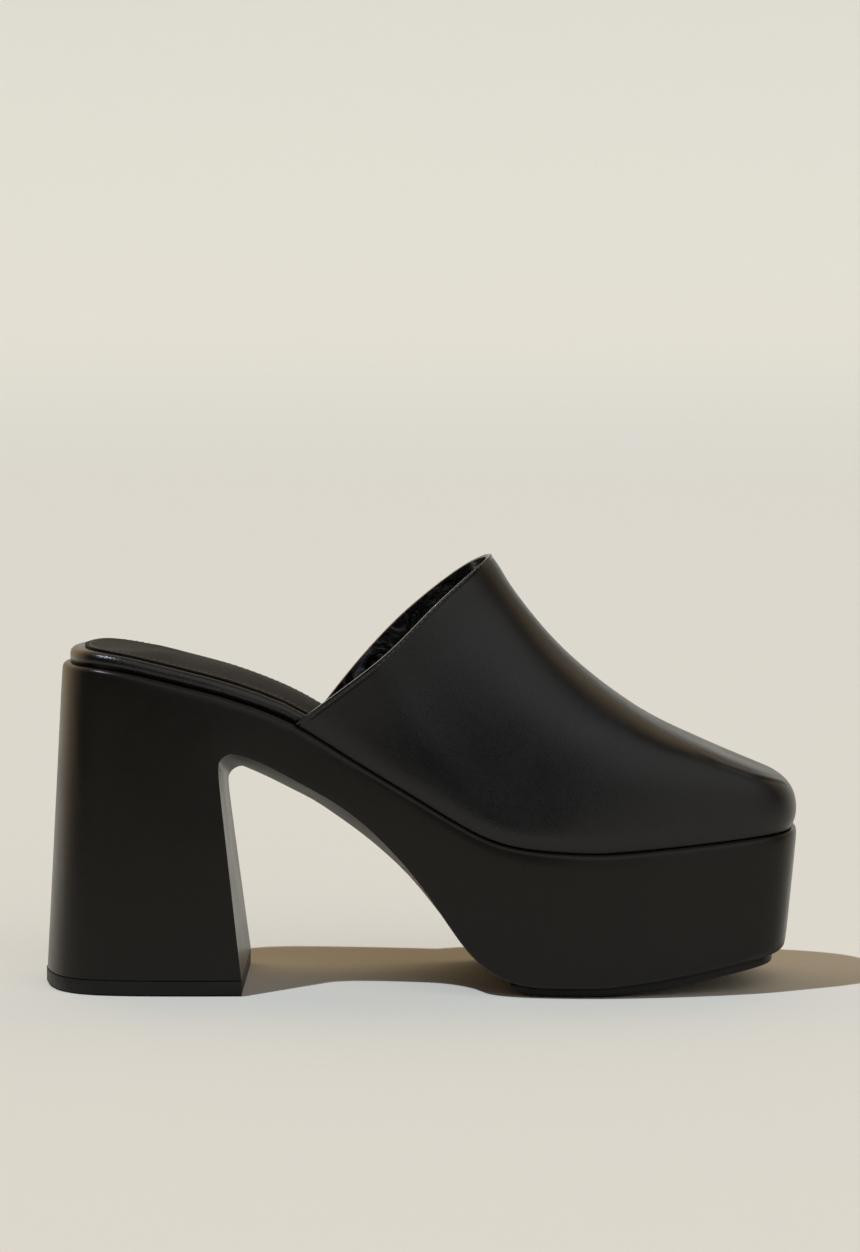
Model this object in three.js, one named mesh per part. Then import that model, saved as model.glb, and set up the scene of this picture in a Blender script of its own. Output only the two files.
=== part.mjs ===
// A closed-toe platform mule for the left foot: a hollow one-piece upper with an open, slanting collar,
// a wrapped insole board with a padded sock on it, one moulded platform and heel unit with a high arch
// between them, a thin rubber outsole under the platform and a rubber top piece under the heel.
// Millimetres. +X runs from heel to toe, +Z is up, and the inner (big toe) side of the shoe is at -Y.
import * as THREE from "three";
import { mergeVertices } from "three/addons/utils/BufferGeometryUtils.js";

// Platform and heel unit
const rimLength = 233.8; // top rim of the unit, from its back to its front
const ballWidth = 86; // top rim across the ball of the foot
const heelHeight = 103; // floor to rim at the back of the seat
const platformHeight = 45.6; // floor to rim at the ball
const rimToeSpring = 5.9; // rise of the rim from the ball to the toe
const rimSpringCurve = 1.15; // 1 would be a straight rise, 2 a parabola
const soleToeSpring = 11; // rise of the underside from the ball to the toe
const soleSpringCurve = 1.3;
const rimRadius = 2; // rounding of the top rim
const soleRadius = 2.4; // rounding of the platform's lower edge
const archRadius = 0.6; // rounding of the arch's lower edge, near the heel
const archRadiusRun = 8; // length over which it sets in, from the arch's corner
const heelRake = 5.4; // the heel's base reaches this far behind the rim
const heelBaseLength = 63.5; // back to breast, at the base
const seatWidth = 62; // top rim across the seat
const heelFlare = 1; // each side of the heel's base stands out this far past the rim
const breastTop = 50.8; // rim's back to the top of the breast
const archInner = 76.3; // floor to the arch on the inner side
const archOuter = 65.4; // floor to the arch on the outer side, which hangs lower
const archCorner = 4.8; // rounding between breast and arch
const flatStart = 152.5; // rim's back to where the forefoot lies flat
const flatEnd = 170.5; // rim's back to where the toe spring starts

// Rubber pieces that stand on the floor
const topPieceThickness = 4.7;
const topPieceProud = 0.2; // the top piece stands out this far past the heel
const topPieceChamfer = 0.8;
const outsoleThickness = 2.5;
const outsoleSkive = 1.2; // thickness of the outsole's rear end
const skiveLength = 9; // length over which it thins
const outsoleInset = 4.4; // the platform's wall to the outsole's edge
const outsoleStart = 141; // rim's back to the rear end of the outsole

// Insole board and padded sock
const seatLedge = 2.6; // rim left bare around the board at the seat
const boardSeatThickness = 4.4;
const boardToeThickness = 3;
const boardRadius = 2; // rounding of the board's wrapped upper edge
const boardNarrowsFrom = 45; // rim's back to where the board starts to draw in
const boardNarrowsTo = 72; // rim's back to where it fits inside the upper
const sockMargin = 2.8; // the board's edge to the sock's edge
const sockBackMargin = 4.6; // the same at the very back
const sockEdge = 0.5; // thickness of the sock's stitched edge
const sockFlange = 2; // width of the sock's stitched edge
const sockBackFlange = 11; // the same at the very back
const sockBackEnd = 26; // rim's back to where the wider margin and edge have run out
const sockPad = 1.9; // how far the padding rises above the stitched edge
const padSlope = 21; // width over which the padding rises
const padMiddleFrom = 40; // rim's back to where the padding's middle line starts
const padMiddleTo = 211; // rim's back to where it ends

// Upper
const wall = 1.8; // leather and lining together
const featherInset = 1.6; // rim to the upper's foot
const tuck = 1.5; // the upper swells past its foot by this much
const tuckHeight = 5.5; // height over which it swells
const instepHeight = 137; // floor to the collar's highest point
const collarFootInner = 75.1; // rim's back to the collar's foot, inner side
const collarFootOuter = 79.5; // rim's back to the collar's foot, outer side
const collarFade = 0.25; // the collar's cut dies out over this share of the way to the toe
const toeSlope = 0.42; // fall of the toe's top surface per millimetre forward

const clearance = 0.3; // gap between pieces that meet
const baseHeight = topPieceThickness + clearance; // floor to the underside of the heel
const soleHeight = outsoleThickness + clearance; // floor to the underside of the platform
const INNER = "inner";
const OUTER = "outer";

// Plan of the rim. along is a share of rimLength, inner and outer are shares of ballWidth,
// and draft is how far the wall leans in per millimetre of depth.
const PLAN = [
  { along: 0, inner: 0, outer: 0, draft: 0 },
  { along: 0.0018, inner: 0.072, outer: 0.072, draft: 0 },
  { along: 0.0094, inner: 0.176, outer: 0.176, draft: 0 },
  { along: 0.0225, inner: 0.26, outer: 0.26, draft: 0 },
  { along: 0.042, inner: 0.316, outer: 0.316, draft: 0 },
  { along: 0.07, inner: 0.347, outer: 0.348, draft: 0 },
  { along: 0.115, inner: 0.36, outer: 0.363, draft: 0 },
  { along: 0.21, inner: 0.358, outer: 0.368, draft: -0.01 },
  { along: 0.32, inner: 0.336, outer: 0.374, draft: 0.02 },
  { along: 0.405, inner: 0.33, outer: 0.407, draft: 0.03 },
  { along: 0.49, inner: 0.368, outer: 0.456, draft: 0.04 },
  { along: 0.576, inner: 0.424, outer: 0.5, draft: 0.045 },
  { along: 0.662, inner: 0.461, outer: 0.528, draft: 0.045 },
  { along: 0.715, inner: 0.467, outer: 0.533, draft: 0.045 },
  { along: 0.77, inner: 0.461, outer: 0.525, draft: 0.05 },
  { along: 0.833, inner: 0.442, outer: 0.498, draft: 0.055 },
  { along: 0.897, inner: 0.408, outer: 0.447, draft: 0.065 },
  { along: 0.944, inner: 0.37, outer: 0.389, draft: 0.075 },
  { along: 0.974, inner: 0.32, outer: 0.324, draft: 0.083 },
  { along: 0.99, inner: 0.252, outer: 0.25, draft: 0.086 },
  { along: 0.998, inner: 0.14, outer: 0.137, draft: 0.086 },
  { along: 1, inner: 0, outer: 0, draft: 0.086 },
];

// Side view of the rim: climb is a share of the fall from the seat to the ball.
const RIM = [
  { along: 0, climb: 1 },
  { along: 0.04, climb: 1 },
  { along: 0.08, climb: 0.982 },
  { along: 0.16, climb: 0.91 },
  { along: 0.24, climb: 0.82 },
  { along: 0.31, climb: 0.708 },
  { along: 0.4, climb: 0.483 },
  { along: 0.48, climb: 0.291 },
  { along: 0.54, climb: 0.15 },
  { along: 0.58, climb: 0.069 },
  { along: 0.62, climb: 0.028 },
  { along: 0.66, climb: 0.01 },
  { along: 0.73, climb: 0 },
  { along: 1, climb: 0 },
];

// Underside between breast and forefoot. reach runs from the end of the arch's corner to flatStart,
// and inner and outer are shares of the arch's height on that side.
const ARCH = [
  { reach: 0, inner: 1, outer: 1 },
  { reach: 0.06, inner: 0.982, outer: 0.965 },
  { reach: 0.107, inner: 0.949, outer: 0.927 },
  { reach: 0.156, inner: 0.911, outer: 0.886 },
  { reach: 0.235, inner: 0.854, outer: 0.828 },
  { reach: 0.316, inner: 0.793, outer: 0.739 },
  { reach: 0.402, inner: 0.714, outer: 0.641 },
  { reach: 0.478, inner: 0.622, outer: 0.54 },
  { reach: 0.587, inner: 0.466, outer: 0.371 },
  { reach: 0.683, inner: 0.285, outer: 0.172 },
  { reach: 0.735, inner: 0.182, outer: 0.078 },
  { reach: 0.783, inner: 0.105, outer: 0.031 },
  { reach: 0.864, inner: 0.036, outer: 0.005 },
  { reach: 0.928, inner: 0.007, outer: 0 },
  { reach: 1, inner: 0, outer: 0 },
];

// Crown of the upper in side view: height is a share of the way from platformHeight to instepHeight.
const CROWN = [
  { along: 0.5843, height: 1 },
  { along: 0.5907, height: 0.983 },
  { along: 0.6069, height: 0.912 },
  { along: 0.6231, height: 0.852 },
  { along: 0.6568, height: 0.744 },
  { along: 0.6773, height: 0.6865 },
  { along: 0.7046, height: 0.6215 },
  { along: 0.7315, height: 0.5645 },
  { along: 0.7588, height: 0.513 },
  { along: 0.7862, height: 0.465 },
  { along: 0.813, height: 0.4265 },
  { along: 0.8404, height: 0.391 },
  { along: 0.8677, height: 0.356 },
  { along: 0.8946, height: 0.3235 },
  { along: 0.9219, height: 0.292 },
  { along: 0.9424, height: 0.2685 },
];

// The collar's line on each side: millimetres forward of a straight slope, by its climb from foot to top.
const COLLAR = [
  { climb: 0, inner: 0, outer: 0 },
  { climb: 0.1, inner: 0.6, outer: -1.5 },
  { climb: 0.2, inner: 1.4, outer: -2.9 },
  { climb: 0.3, inner: 2.2, outer: -4.2 },
  { climb: 0.4, inner: 2.5, outer: -5.2 },
  { climb: 0.5, inner: 2, outer: -5.9 },
  { climb: 0.6, inner: 0.9, outer: -6.2 },
  { climb: 0.7, inner: -0.1, outer: -5.8 },
  { climb: 0.8, inner: -0.7, outer: -5 },
  { climb: 0.9, inner: -0.7, outer: -3.7 },
  { climb: 0.96, inner: -0.4, outer: -2.3 },
  { climb: 1, inner: 0, outer: 0 },
];

// Cross-sections of the upper, each a bow from the rim on one side over the crown to the other.
// progress runs from the collar to the toe, crown is where the bow crosses the crown line (share of
// rimLength), lean is how much of its forward reach goes with its rise, ridge is the crown's place across
// (share of ballWidth), and inner and outer say how full the bow is on each side, 2 being an ellipse.
const BOWS = [
  { progress: 0, crown: 0.5843, lean: 1, ridge: -0.02, inner: 2.8, outer: 3 },
  { progress: 0.15, crown: 0.618, lean: 1, ridge: -0.04, inner: 2.7, outer: 2.6 },
  { progress: 0.3, crown: 0.663, lean: 1, ridge: -0.06, inner: 2.7, outer: 2.4 },
  { progress: 0.45, crown: 0.716, lean: 1, ridge: -0.075, inner: 2.8, outer: 2.35 },
  { progress: 0.6, crown: 0.775, lean: 1, ridge: -0.085, inner: 3.4, outer: 2.4 },
  { progress: 0.72, crown: 0.83, lean: 0.6, ridge: -0.09, inner: 4.3, outer: 2.6 },
  { progress: 0.84, crown: 0.88, lean: 0.1, ridge: -0.085, inner: 5.6, outer: 3 },
  { progress: 0.92, crown: 0.908, lean: 0, ridge: -0.075, inner: 6.6, outer: 3.2 },
  { progress: 0.965, crown: 0.922, lean: 0, ridge: -0.06, inner: 6, outer: 3.4 },
  { progress: 0.99, crown: 0.932, lean: 0, ridge: -0.04, inner: 5.2, outer: 4 },
  { progress: 1, crown: 0.938, lean: 0, ridge: -0.025, inner: 4.3, outer: 4.3 },
];

// Where a bow's points lie, as shares of its length from foot to crown.
const BOW_STEPS = [0, 0.03, 0.075, 0.14, 0.22, 0.31, 0.39, 0.455, 0.51, 0.565, 0.625, 0.7, 0.79, 0.9, 1];

const { lerp, clamp, smoothstep } = THREE.MathUtils;

// A smooth curve through one column of a table, with no overshoot between its rows.
function read(table, key, column, at) {
  const last = table.length - 1;
  const x = clamp(at, table[0][key], table[last][key]);
  let i = 0;
  while (i < last - 1 && x > table[i + 1][key]) i++;
  const width = (j) => table[j + 1][key] - table[j][key];
  const slope = (j) => (table[j + 1][column] - table[j][column]) / width(j);
  const tangent = (j) => {
    if (j === 0) return slope(0);
    if (j === last) return slope(last - 1);
    const [before, after] = [slope(j - 1), slope(j)];
    if (before * after <= 0) return 0;
    const [w1, w2] = [2 * width(j) + width(j - 1), width(j) + 2 * width(j - 1)];
    return (w1 + w2) / (w1 / before + w2 / after);
  };
  const h = width(i);
  const t = (x - table[i][key]) / h;
  return (
    table[i][column] * (1 + 2 * t) * (1 - t) ** 2 +
    table[i + 1][column] * t * t * (3 - 2 * t) +
    h * t * (1 - t) * (tangent(i) * (1 - t) - tangent(i + 1) * t)
  );
}

// Faces are laid down in grids, then joined where their corners meet.
class Skin {
  constructor() {
    this.corners = [];
  }

  face(...points) {
    const same = (a, b) => a.distanceTo(b) < 1e-4;
    const [a, b, c] = points;
    if (!same(a, b) && !same(b, c) && !same(c, a)) this.corners.push(a, b, c);
  }

  // The faces look along (next column) x (next row), and each cell is split along its shorter diagonal.
  grid(columns, rows, at) {
    for (let i = 0; i < columns; i++)
      for (let j = 0; j < rows; j++) {
        const [a, b, c, d] = [at(i, j), at(i + 1, j), at(i + 1, j + 1), at(i, j + 1)];
        if (a.distanceTo(c) < b.distanceTo(d)) {
          this.face(a, b, c);
          this.face(a, c, d);
        } else {
          this.face(a, b, d);
          this.face(b, c, d);
        }
      }
  }

  geometry() {
    return mergeVertices(new THREE.BufferGeometry().setFromPoints(this.corners), 1e-3);
  }
}

const rimCurve = new THREE.CatmullRomCurve3(
  [
    ...PLAN.map((row) => new THREE.Vector3(row.along * rimLength, -row.inner * ballWidth, 0)),
    ...PLAN.slice(1, -1)
      .reverse()
      .map((row) => new THREE.Vector3(row.along * rimLength, row.outer * ballWidth, 0)),
  ],
  true,
  "centripetal",
);
const toeRow = PLAN.length - 1;

// A point of the rim's plan, by its place in the PLAN table, moved in by inset.
function plan(row, side, inset = 0) {
  const share = row / (2 * toeRow);
  const t = side === INNER || row === 0 ? share : 1 - share;
  const step = 1e-4;
  const before = rimCurve.getPoint((t - step + 1) % 1);
  const along = rimCurve.getPoint((t + step) % 1).sub(before).normalize();
  return rimCurve.getPoint(t).add(new THREE.Vector3(-along.y, along.x, 0).multiplyScalar(inset));
}

// The place in the PLAN table at which the rim has this x.
function rowAt(x, side = INNER) {
  let [low, high] = [0, toeRow];
  for (let i = 0; i < 40; i++) {
    const middle = (low + high) / 2;
    if (plan(middle, side).x < x) low = middle;
    else high = middle;
  }
  return (low + high) / 2;
}

const draftAt = (row) => {
  const i = Math.min(Math.floor(row), toeRow - 1);
  return lerp(PLAN[i].draft, PLAN[i + 1].draft, row - i);
};
const shareAlong = (x) => clamp(x / rimLength, 0, 1);

function rimHeight(x) {
  const spring = clamp((x - flatEnd) / (rimLength - flatEnd), 0, 1) ** rimSpringCurve * rimToeSpring;
  return platformHeight + read(RIM, "along", "climb", shareAlong(x)) * (heelHeight - platformHeight) + spring;
}

// Height of the unit's underside in front of the breast.
function undersideHeight(x, side) {
  const top = side === INNER ? archInner : archOuter;
  const past = x - breastTop;
  if (past < archCorner) return top - archCorner + Math.sqrt(archCorner ** 2 - (archCorner - past) ** 2);
  const cornerEnd = breastTop + archCorner;
  const arch = read(ARCH, "reach", side, (x - cornerEnd) / (flatStart - cornerEnd)) * (top - soleHeight);
  const spring = clamp((x - flatEnd) / (rimLength - flatEnd), 0, 1) ** soleSpringCurve * soleToeSpring;
  return soleHeight + arch + spring;
}

// How far the foot of the platform's wall stands in from the rim, because of the draft.
function draftedInset(row, side) {
  const { x } = plan(row, side);
  return draftAt(row) * (rimHeight(x) - undersideHeight(x, side));
}

// Radius of the rounding between the wall and the underside: none at the breast, full under the platform.
function lowerRadius(row, side) {
  const cornerEnd = breastTop + archCorner;
  const ahead = plan(row, side).x - cornerEnd;
  const grown = clamp(ahead / (flatStart - cornerEnd), 0, 1) ** 2;
  return lerp(clamp(ahead / archRadiusRun, 0, 1) * archRadius, soleRadius, grown);
}

const undersideEdge = (row, side) => plan(row, side, draftedInset(row, side) + lowerRadius(row, side));

// Height of the underside between its two edges.
function undersideAt(x, y) {
  const [innerY, outerY] = [INNER, OUTER].map((side) => undersideEdge(rowAt(x, side), side).y);
  const share = clamp((y - innerY) / (outerY - innerY), 0, 1);
  return lerp(undersideHeight(x, INNER), undersideHeight(x, OUTER), share);
}

const withHeight = (p, z) => new THREE.Vector3(p.x, p.y, z);
const between = (a, b, t) => a.clone().lerp(b, t);

// Points from a wall over a surface to the opposite wall.
const ACROSS = 4;
const bridge = (a, b) => Array.from({ length: ACROSS + 1 }, (_, i) => between(a, b, i / ACROSS));

// Joins two walls, each listed from its foot to its top, by the surface between their tops.
function hoop(innerWall, outerWall) {
  const top = bridge(innerWall.at(-1), outerWall.at(-1)).slice(1, -1);
  return [...innerWall, ...top, ...[...outerWall].reverse()];
}

// A plate whose columns each have an inner and an outer wall, closed underneath and at a blunt end.
function plate(columns) {
  const skin = new Skin();
  const hoops = columns.map(({ inner, outer }) => hoop(inner, outer));
  const floors = columns.map(({ inner, outer }) => bridge(outer[0], inner[0]));
  const last = columns.length - 1;
  skin.grid(last, hoops[0].length - 1, (i, j) => hoops[i][j]);
  skin.grid(last, ACROSS, (i, j) => floors[i][j]);
  for (const [end, turned] of [[columns[0], true], [columns[last], false]]) {
    const levels = end.inner.map((p, i) => bridge(p, end.outer[i]));
    skin.grid(ACROSS, levels.length - 1, (i, j) => levels[j][turned ? ACROSS - i : i]);
  }
  return skin.geometry();
}

// The rounded edge between a wall and the surface above it: four points from wall to surface.
function roundedEdge(radius, pointAt) {
  return [0, 30, 60, 90].map((degrees) => {
    const angle = THREE.MathUtils.degToRad(degrees);
    return pointAt(radius * (1 - Math.cos(angle)), radius * (1 - Math.sin(angle)));
  });
}

// The heel's breast, run up to the rim, so that the columns of the heel lean as it does
const breastBase = heelBaseLength - heelRake;
const breastLean = (breastBase - breastTop) / (archInner - archCorner - baseHeight);
const breastRim = breastTop - breastLean * (rimHeight(breastTop) - (archInner - archCorner));
const HEEL_COLUMNS = 20;
const breastRow = rowAt(breastRim);
const heelRows = Array.from({ length: HEEL_COLUMNS + 1 }, (_, i) => (breastRow * i) / HEEL_COLUMNS);

// The columns in front of the breast: three round its corner, then evenly spaced ones to the toe
const FRONT_COLUMNS = 44;
const cornerRows = [22.5, 45, 67.5].map((degrees) => {
  const angle = THREE.MathUtils.degToRad(degrees);
  return rowAt(breastTop + archCorner * (1 - Math.cos(angle)));
});
const archRow = rowAt(breastTop + archCorner);
const evenRow = (i) => lerp(archRow, toeRow, i / FRONT_COLUMNS);
const evenRows = Array.from({ length: FRONT_COLUMNS + 1 }, (_, i) => evenRow(i));
const frontRows = [...cornerRows, ...evenRows];

// A point of the heel's base, under a point of the rim.
function heelBase(row, side, proud = 0) {
  const rim = plan(row, side, -proud);
  const flared = 1 + (2 * heelFlare) / seatWidth;
  const x = -heelRake + (rim.x / breastRim) * heelBaseLength;
  return new THREE.Vector3(x, rim.y * flared, baseHeight);
}

function rimEdge(row, side) {
  return roundedEdge(rimRadius, (inset, drop) => {
    const p = plan(row, side, inset);
    return withHeight(p, rimHeight(p.x) - drop);
  });
}

const HEEL_STEPS = [0, 0.33, 0.67, 1];

function platformHeelUnit() {
  const skin = new Skin();
  const divide = { inner: archInner - archCorner, outer: archOuter - archCorner };
  const middle = (divide.inner + divide.outer) / 2;
  const slope = (divide.outer - divide.inner) / (plan(breastRow, OUTER).y - plan(breastRow, INNER).y);
  const dividePoint = (row, side) => {
    const [top, base] = [rimEdge(row, side)[0], heelBase(row, side)];
    const atBreast = row === breastRow;
    const z = atBreast ? divide[side] : middle + slope * top.y;
    const p = between(base, top, (z - base.z) / (top.z - base.z));
    return atBreast ? new THREE.Vector3(breastTop, p.y, z) : p;
  };
  const upperWall = (foot, row, side) => {
    const edge = rimEdge(row, side);
    return [...foot, between(foot.at(-1), edge[0], 0.5), ...edge];
  };
  const sharpEdge = (p) => [p, p, p, p];

  // columns of the heel, each in an upper and a lower part
  const upperHeel = heelRows.map((row) =>
    hoop(
      upperWall(sharpEdge(dividePoint(row, INNER)), row, INNER),
      upperWall(sharpEdge(dividePoint(row, OUTER)), row, OUTER),
    ),
  );
  const lowerHeel = (side) =>
    heelRows.map((row) => HEEL_STEPS.map((t) => between(heelBase(row, side), dividePoint(row, side), t)));
  const [innerHeel, outerHeel] = [lowerHeel(INNER), lowerHeel(OUTER)];

  // columns in front of the breast, whose feet follow the arch and the sole
  const lag = rowAt(breastTop) - breastRow;
  const lagEnd = breastRow + 1.5;
  const lowerEdge = (row, side) => {
    const edge = roundedEdge(lowerRadius(row, side), (inset, rise) => {
      const p = plan(row, side, draftedInset(row, side) + inset);
      return withHeight(p, undersideHeight(p.x, side) + rise);
    });
    return edge.reverse();
  };
  const front = frontRows.map((row) => {
    const rimRow = row - lag * (1 - smoothstep(row, breastRow, lagEnd));
    const wallOf = (side) => upperWall(lowerEdge(row, side), rimRow, side);
    return { inner: wallOf(INNER), outer: wallOf(OUTER) };
  });
  const frontHoops = [upperHeel.at(-1), ...front.map(({ inner, outer }) => hoop(inner, outer))];
  const breastLine = bridge(outerHeel.at(-1).at(-1), innerHeel.at(-1).at(-1));
  const underside = [breastLine, ...front.map(({ inner, outer }) => bridge(outer[0], inner[0]))];
  const base = heelRows.map((_, i) => bridge(outerHeel[i][0], innerHeel[i][0]));
  const breast = HEEL_STEPS.map((_, j) => bridge(innerHeel.at(-1)[j], outerHeel.at(-1)[j]));

  const hoopSteps = frontHoops[0].length - 1;
  const heelSteps = HEEL_STEPS.length - 1;
  skin.grid(HEEL_COLUMNS, hoopSteps, (i, j) => upperHeel[i][j]);
  skin.grid(frontRows.length, hoopSteps, (i, j) => frontHoops[i][j]);
  skin.grid(HEEL_COLUMNS, heelSteps, (i, j) => innerHeel[i][j]);
  skin.grid(HEEL_COLUMNS, heelSteps, (i, j) => outerHeel[i][heelSteps - j]);
  skin.grid(HEEL_COLUMNS, ACROSS, (i, j) => base[i][j]);
  skin.grid(ACROSS, heelSteps, (i, j) => breast[j][i]);
  skin.grid(frontRows.length, ACROSS, (i, j) => underside[i][j]);
  return skin.geometry();
}

function heelTopPiece() {
  const wallOf = (row, side) => {
    const at = (inset, z) => withHeight(heelBase(row, side, topPieceProud - inset), z);
    return [at(topPieceChamfer, 0), at(0, topPieceChamfer), at(0, topPieceThickness)];
  };
  const columns = heelRows.map((row) => ({ inner: wallOf(row, INNER), outer: wallOf(row, OUTER) }));
  return plate(columns);
}

function outsole() {
  const rows = frontRows.filter((row) => plan(row, INNER).x > outsoleStart);
  const columns = rows.map((row) => {
    const wallOf = (side) => {
      const p = plan(row, side, draftedInset(row, side) + outsoleInset);
      const run = 4;
      const slope = (undersideAt(p.x - run, p.y) - undersideAt(p.x, p.y)) / run;
      const top = undersideAt(p.x, p.y) - clearance * Math.hypot(1, slope);
      const thickness = lerp(outsoleSkive, outsoleThickness, smoothstep(p.x - outsoleStart, 0, skiveLength));
      return [withHeight(p, top - thickness), withHeight(p, top)];
    };
    return { inner: wallOf(INNER), outer: wallOf(OUTER) };
  });
  return plate(columns);
}

// The board fills the seat, then draws in to pass inside the upper.
const boardInsetAt = (x) =>
  lerp(seatLedge, featherInset + wall + clearance, smoothstep(x, boardNarrowsFrom, boardNarrowsTo));
const boardThicknessAt = (x) =>
  lerp(boardSeatThickness, boardToeThickness, smoothstep(x, collarFootInner, flatStart));
const boardTopAt = (x) => rimHeight(x) + clearance + boardThicknessAt(x);
const boardRows = [...heelRows, ...frontRows];
const fallsSteeply = (row) => row > archRow && plan(row, INNER).x < flatStart;
const sockRows = boardRows.filter((row, i) => i % 2 === 0 || fallsSteeply(row));

function insoleBoard() {
  const wallOf = (row, side) => {
    const inset = boardInsetAt(plan(row, side).x);
    const foot = plan(row, side, inset);
    const edge = roundedEdge(boardRadius, (more, drop) => {
      const p = plan(row, side, inset + more);
      return withHeight(p, boardTopAt(p.x) - drop);
    });
    return [withHeight(foot, rimHeight(foot.x) + clearance), ...edge];
  };
  return plate(boardRows.map((row) => ({ inner: wallOf(row, INNER), outer: wallOf(row, OUTER) })));
}

// The sock's padding swells towards a line down its middle, which stops short of both ends.
function paddedSock() {
  const middleOf = (row) => {
    const [inner, outer] = [plan(row, INNER), plan(row, OUTER)];
    const x = clamp((inner.x + outer.x) / 2, padMiddleFrom, padMiddleTo);
    return new THREE.Vector3(x, (inner.y + outer.y) / 2, 0);
  };
  const wallOf = (row, side) => {
    const { x } = plan(row, side);
    const fromBack = smoothstep(x, 0, sockBackEnd);
    const flange = lerp(sockBackFlange, sockFlange, fromBack);
    const edge = plan(row, side, boardInsetAt(x) + lerp(sockBackMargin, sockMargin, fromBack));
    const inward = middleOf(row).sub(edge).normalize();
    const at = (reach, lift) => {
      const p = edge.clone().addScaledVector(inward, reach);
      return withHeight(p, boardTopAt(p.x) + clearance + lift);
    };
    const pad = [0.25, 0.5, 0.75, 1].map((t) =>
      at(flange + padSlope * t, sockEdge + sockPad * Math.sin((t * Math.PI) / 2)),
    );
    return [at(0, 0), at(0, sockEdge), at(flange, sockEdge), ...pad];
  };
  return plate(sockRows.map((row) => ({ inner: wallOf(row, INNER), outer: wallOf(row, OUTER) })));
}

const crownHeight = (x) =>
  lerp(platformHeight, instepHeight, read(CROWN, "along", "height", shareAlong(x)));

// One half of a bow of the upper, from its foot to the crown, as evenly placed points.
function halfBow(row, side, progress, fade) {
  const value = (column) => read(BOWS, "progress", column, progress);
  const foot = plan(row, side, featherInset);
  const outward = foot.clone().sub(plan(row, side, featherInset + 1));
  foot.z = rimHeight(foot.x) + clearance;
  const crownX = value("crown") * rimLength;
  const crown = new THREE.Vector3(crownX, value("ridge") * ballWidth, crownHeight(crownX));
  const reach = crown.clone().sub(foot);
  const lean = value("lean");
  const fall = toeSlope * Math.max(0, foot.x - crownX);
  const across = new THREE.Vector3(reach.x * (1 - lean), reach.y, fall);
  const rise = new THREE.Vector3(reach.x * lean, 0, reach.z - fall);
  const power = 2 / value(side);
  const at = (angle) => {
    const [a, r] = [1 - Math.cos(angle) ** power, Math.sin(angle) ** power];
    const p = foot.clone().addScaledVector(across, a).addScaledVector(rise, r);
    const climbed = Math.min(1, (r * rise.length()) / tuckHeight);
    p.addScaledVector(outward, tuck * (1 - (1 - climbed) ** 2) * (1 - a));
    p.x += fade * read(COLLAR, "climb", side, r);
    return p;
  };
  const FINE = 160;
  const line = Array.from({ length: FINE }, (_, i) => at((i / FINE) * (Math.PI / 2)));
  line.push(crown);
  const lengths = [0];
  for (let i = 1; i <= FINE; i++) lengths.push(lengths[i - 1] + line[i].distanceTo(line[i - 1]));
  return BOW_STEPS.map((share) => {
    if (share === 1) return crown;
    const target = share * lengths[FINE];
    let i = 0;
    while (lengths[i + 1] < target) i++;
    return between(line[i], line[i + 1], (target - lengths[i]) / (lengths[i + 1] - lengths[i]));
  });
}

// The upper's outer surface as bows, from the collar's inner foot round the toe to its outer foot.
const BOWS_A_SIDE = 32;
function outerSurface() {
  const [innerFoot, outerFoot] = [rowAt(collarFootInner), rowAt(collarFootOuter, OUTER)];
  const half = (side, k) => {
    const share = k / BOWS_A_SIDE;
    const row = lerp(side === INNER ? innerFoot : outerFoot, toeRow, share);
    const innerX = plan(lerp(innerFoot, toeRow, share), INNER).x;
    const progress = (innerX - collarFootInner) / (rimLength - collarFootInner);
    const fade = Math.max(0, 1 - share / collarFade);
    return halfBow(row, side, progress, fade);
  };
  const steps = Array.from({ length: BOWS_A_SIDE + 1 }, (_, k) => k);
  const inner = steps.map((k) => half(INNER, k));
  const outer = steps.slice(0, -1).map((k) => half(OUTER, k)).reverse();
  return [...inner, ...outer];
}

// Directions square to a surface at its corners, from the faces that meet there.
function normalsOf(corners) {
  const key = (p) => p.toArray().map((v) => Math.round(v * 1e3)).join();
  const sums = new Map();
  for (let i = 0; i < corners.length; i += 3) {
    const [a, b, c] = corners.slice(i, i + 3);
    const normal = b.clone().sub(a).cross(c.clone().sub(a));
    for (const p of [a, b, c]) {
      if (!sums.has(key(p))) sums.set(key(p), new THREE.Vector3());
      sums.get(key(p)).add(normal);
    }
  }
  return (p) => sums.get(key(p)).clone().normalize();
}

function upper() {
  const outside = outerSurface();
  const columns = outside.length - 1;
  const rows = BOW_STEPS.length - 1;
  const skin = new Skin();
  skin.grid(columns, rows, (i, j) => outside[i][j]);
  const normalAt = normalsOf(skin.corners);
  const inside = outside.map((bow) =>
    bow.map((p, j) => {
      const normal = normalAt(p);
      if (j === 0) normal.setZ(0).normalize();
      return p.clone().addScaledVector(normal, -wall);
    }),
  );
  skin.grid(columns, rows, (i, j) => inside[columns - i][j]);
  skin.grid(columns, 1, (i, j) => (j ? outside : inside)[i][0]);
  const collar = (bows) => [...bows[0], ...bows[columns].slice(0, -1).reverse()];
  const [outerCollar, innerCollar] = [collar(outside), collar(inside)];
  skin.grid(1, outerCollar.length - 1, (i, j) => (i ? outerCollar : innerCollar)[j]);
  return skin.geometry();
}

const FINISHES = {
  upperLeather: { color: 0x232325, roughness: 0.38, metalness: 0 },
  moulded: { color: 0x1d1b1a, roughness: 0.5, metalness: 0 },
  grainedWrap: { color: 0x151518, roughness: 0.32, metalness: 0 },
  sockLeather: { color: 0x2d2823, roughness: 0.6, metalness: 0 },
  rubber: { color: 0x1a1a1a, roughness: 0.7, metalness: 0 },
};

function piece(name, geometry, finish) {
  const mesh = new THREE.Mesh(geometry, new THREE.MeshStandardMaterial(FINISHES[finish]));
  mesh.name = name;
  return mesh;
}

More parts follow.
